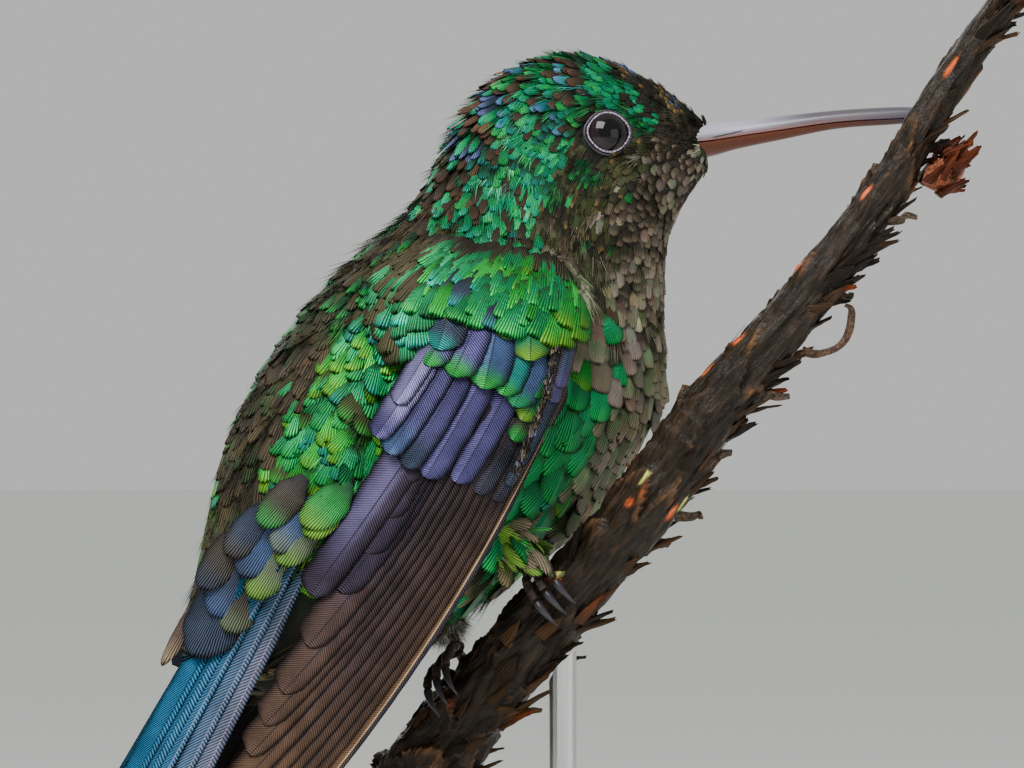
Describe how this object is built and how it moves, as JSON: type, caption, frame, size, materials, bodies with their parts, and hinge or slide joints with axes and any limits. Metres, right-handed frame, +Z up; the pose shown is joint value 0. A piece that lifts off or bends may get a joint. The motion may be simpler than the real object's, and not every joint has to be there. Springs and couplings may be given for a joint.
{
  "type": "hummingbird model",
  "caption": "Life-size still model of a green hummingbird with a blue tail, gripping a cut length of branch held by a rod on a flat base.",
  "frame": {"origin": "middle of the stand base's flat underside, on the surface it stands on", "axes": "+Z up, +X the way the bill points, -Y the side of the right wing"},
  "size_m": [0.0769, 0.042, 0.0843],
  "materials": {
    "plumage_green": "small overlapping feathers with a green metallic sheen",
    "plumage_bronze": "soft brown and bronze feathers",
    "wing_dark": "long dusky flight feathers with fine barbs",
    "tail_blue": "steel-blue tail feathers with a soft gloss",
    "bill_black": "smooth black horn",
    "bill_red": "smooth coral-red horn",
    "eye_dark": "wet glossy dark brown eye",
    "foot_brown": "scaly brown-grey skin",
    "claw_grey": "dark grey horn",
    "bark": "dark rough layered bark",
    "stand_steel": "plain steel rod",
    "stand_white": "plain off-white plate"
  },
  "bodies": {
    "root": {"head": "plumage_green", "neck": "plumage_green", "trunk": "plumage_green", "rump": "plumage_bronze", "eye_right": "eye_dark", "eye_left": "eye_dark", "bill_upper": "bill_black", "bill_lower": "bill_red", "wing_right_coverts": "plumage_green", "wing_right_secondaries": "wing_dark", "wing_right_primaries": "wing_dark", "wing_left_coverts": "plumage_green", "wing_left_secondaries": "wing_dark", "wing_left_primaries": "wing_dark", "tail_left": "tail_blue", "tail_centre": "tail_blue", "tail_right": "tail_blue", "thigh_right": "plumage_bronze", "thigh_left": "plumage_bronze", "foot_right": "foot_brown", "foot_left": "foot_brown", "claw_inner_right": "claw_grey", "claw_middle_right": "claw_grey", "claw_outer_right": "claw_grey", "claw_hind_right": "claw_grey", "claw_inner_left": "claw_grey", "claw_middle_left": "claw_grey", "claw_outer_left": "claw_grey", "claw_hind_left": "claw_grey", "perch": "bark", "perch_bud": "bark", "perch_tendril": "bark", "stand_rod": "stand_steel", "stand_base": "stand_white"}
  },
  "joints": []
}
